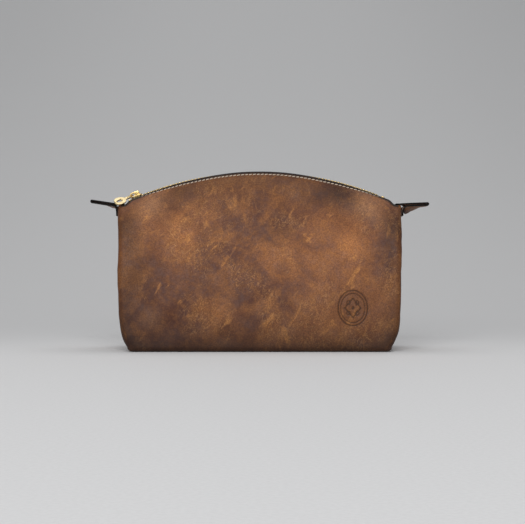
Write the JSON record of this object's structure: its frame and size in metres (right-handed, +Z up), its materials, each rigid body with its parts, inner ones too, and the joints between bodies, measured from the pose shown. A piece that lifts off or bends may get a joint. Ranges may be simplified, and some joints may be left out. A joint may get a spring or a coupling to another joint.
{
  "type": "shaving kit bag",
  "caption": "Leather shaving kit bag: an arched zip opens the top, a grab tab stands at each end, and a cloth lining holds a flat pocket.",
  "frame": {"origin": "on the floor, at the middle of the bag's flat base", "axes": "+X along the width to the viewer's right, +Y from the front to the back, +Z up"},
  "size_m": [0.3092, 0.0908, 0.1622],
  "materials": {
    "brown_leather": "oiled pull-up leather, satin, scuffed",
    "tab_leather": "oiled leather with black painted edges",
    "lining": "plain woven cotton",
    "zip_tape": "herringbone tape",
    "brass": "polished, lightly handled"
  },
  "bodies": {
    "bag": {"front_panel": "brown_leather", "base_panel": "brown_leather", "left_gusset": "brown_leather", "right_gusset": "brown_leather", "left_tab": "tab_leather", "right_tab": "tab_leather", "front_lining": "lining", "base_lining": "lining", "left_lining": "lining", "right_lining": "lining", "zip_tape_front": "zip_tape", "zip_teeth_front": "brass", "top_stop_front": "brass", "top_stop_back": "brass", "bottom_stop": "brass"},
    "back_wall": {"back_panel": "brown_leather", "back_lining": "lining", "inner_pocket": "lining", "zip_tape_back": "zip_tape", "zip_teeth_back": "brass"},
    "slider": {"slider_body": "brass", "slider_bridge": "brass"},
    "link": {"pull_link": "brass"},
    "pull": {"pull_tab": "brass"}
  },
  "joints": [
    {"name": "zip_travel", "type": "hinge", "parent": "bag", "child": "slider", "pos_m": [0, 0, -0.132], "axis": [0, 1, 0], "range_deg": [0, 43.5], "deforming": ["zip_teeth_front", "zip_teeth_back", "zip_tape_front", "zip_tape_back"]},
    {"name": "mouth_open", "type": "hinge", "parent": "bag", "child": "back_wall", "pos_m": [0, 0.045, 0], "axis": [-1, 0, 0], "range_deg": [0, 12]},
    {"name": "link_swing", "type": "hinge", "parent": "slider", "child": "link", "pos_m": [-0.11663, 0, 0.14116], "axis": [0, 1, 0], "range_deg": [0, 120]},
    {"name": "pull_swing", "type": "hinge", "parent": "link", "child": "pull", "pos_m": [-0.11973, -0.00274, 0.13923], "axis": [-0.9232, 0, -0.3843], "range_deg": [0, 75]}
  ],
  "couplings": [
    {"joint": "mouth_open", "follows": "zip_travel", "ratio": 0.275}
  ]
}
